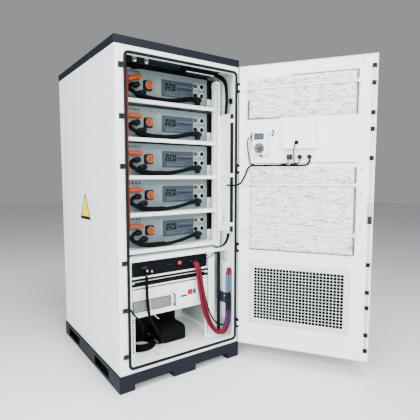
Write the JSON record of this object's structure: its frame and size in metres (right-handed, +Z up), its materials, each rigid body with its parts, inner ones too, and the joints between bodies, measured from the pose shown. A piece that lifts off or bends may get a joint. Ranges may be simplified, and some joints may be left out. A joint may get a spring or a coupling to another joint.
{
  "type": "server rack battery",
  "caption": "Outdoor steel cabinet, door open, holding rack battery modules on shelves above a control unit and a power unit, with link cables.",
  "frame": {"origin": "on the floor, under the middle of the cabinet", "axes": "+Z up, -Y out of the door opening, +X to the right seen from the front, where the door is hinged"},
  "size_m": [1.2023, 1.5837, 1.755],
  "materials": {
    "white_coat": "fine white powder coat",
    "slate_coat": "dark slate powder coat",
    "gasket_rubber": "matt black foam rubber",
    "black_coat": "satin black paint",
    "module_coat": "pale grey-green powder coat",
    "black_sleeve": "black cable sleeve",
    "orange_sleeve": "orange cable sleeve",
    "red_sleeve": "red cable sleeve",
    "red_cap": "glossy red",
    "grey_cap": "glossy pale grey",
    "light_plastic": "pale grey moulded plastic",
    "black_plastic": "black moulded plastic",
    "film_mat": "white film over foam",
    "zinc": "zinc-plated steel"
  },
  "bodies": {
    "cabinet": {"base_plinth": "slate_coat", "side_panel_left": "white_coat", "side_panel_right": "white_coat", "rear_panel": "white_coat", "floor_panel": "white_coat", "ceiling_panel": "white_coat", "roof_cap": "slate_coat", "front_frame": "white_coat", "door_gasket": "gasket_rubber", "rack_frame_upper": "white_coat", "rack_frame_lower": "white_coat", "shelf_1": "white_coat", "shelf_2": "white_coat", "shelf_3": "white_coat", "shelf_4": "white_coat", "shelf_5": "white_coat", "divider_shelf": "white_coat", "battery_module_1": "module_coat", "battery_module_2": "module_coat", "battery_module_3": "module_coat", "battery_module_4": "module_coat", "battery_module_5": "module_coat", "module_cable_1": "black_sleeve", "module_cable_2": "black_sleeve", "module_cable_3": "black_sleeve", "module_cable_4": "black_sleeve", "module_cable_5": "black_sleeve", "link_harness": "orange_sleeve", "control_unit": "black_coat", "power_unit": "white_coat", "air_duct": "white_coat", "terminal_cover": "white_coat", "main_cable": "red_sleeve", "comms_cable": "black_sleeve", "spare_coil": "black_sleeve", "junction_box": "black_coat", "hinge_1": "black_coat", "hinge_2": "black_coat", "hinge_3": "black_coat", "hinge_4": "black_coat", "harness_loop": "black_sleeve"},
    "door": {"door_shell": "white_coat", "door_inner_panel": "white_coat", "insulation_upper": "film_mat", "insulation_lower": "film_mat", "cover_box": "white_coat", "dehumidifier_case": "light_plastic", "filter_cover": "white_coat", "lock_case": "zinc", "door_harness": "black_sleeve", "switch_bracket": "zinc", "handle_plate": "black_coat"},
    "fan": {"dehumidifier_fan": "black_plastic"},
    "upper_rod": {"lock_rod_upper": "zinc"},
    "lower_rod": {"lock_rod_lower": "zinc"},
    "lever": {"door_handle": "black_coat"},
    "estop": {"estop_head": "red_cap"},
    "button_1": {"push_button_1": "grey_cap"},
    "button_2": {"push_button_2": "grey_cap"},
    "rocker": {"power_rocker": "red_cap"}
  },
  "joints": [
    {"name": "door_hinge", "type": "hinge", "parent": "cabinet", "child": "door", "pos_m": [0.3719, -0.4873, 0.9035], "axis": [0, 0, 1], "range_deg": [-123.4, 6.6], "deforming": ["harness_loop"]},
    {"name": "handle_turn", "type": "hinge", "parent": "door", "child": "lever", "pos_m": [0.79993, -1.06378, 0.925], "axis": [-0.8348, -0.5505, 0], "range_deg": [0, 90]},
    {"name": "upper_rod_slide", "type": "slide", "parent": "door", "child": "upper_rod", "axis": [0, 0, 1], "range_m": [0, 0.018]},
    {"name": "lower_rod_slide", "type": "slide", "parent": "door", "child": "lower_rod", "axis": [0, 0, -1], "range_m": [0, 0.018]},
    {"name": "fan_spin", "type": "hinge", "parent": "door", "child": "fan", "pos_m": [0.41563, -0.61538, 1.248], "axis": [-0.8348, -0.5505, 0], "continuous": true},
    {"name": "estop_press", "type": "slide", "parent": "door", "child": "estop", "axis": [-0.8348, -0.5505, 0], "range_m": [0, 0.006]},
    {"name": "button_1_press", "type": "slide", "parent": "door", "child": "button_1", "axis": [-0.8348, -0.5505, 0], "range_m": [0, 0.003], "stiffness_N_per_m": 400},
    {"name": "button_2_press", "type": "slide", "parent": "door", "child": "button_2", "axis": [-0.8348, -0.5505, 0], "range_m": [0, 0.003], "stiffness_N_per_m": 400},
    {"name": "rocker_tilt", "type": "hinge", "parent": "cabinet", "child": "rocker", "pos_m": [0.037, -0.363, 0.6001], "axis": [1, 0, 0], "range_deg": [0, 16]}
  ],
  "couplings": [
    {"joint": "upper_rod_slide", "follows": "handle_turn", "m_per_rad": 0.011459},
    {"joint": "lower_rod_slide", "follows": "handle_turn", "m_per_rad": 0.011459}
  ]
}
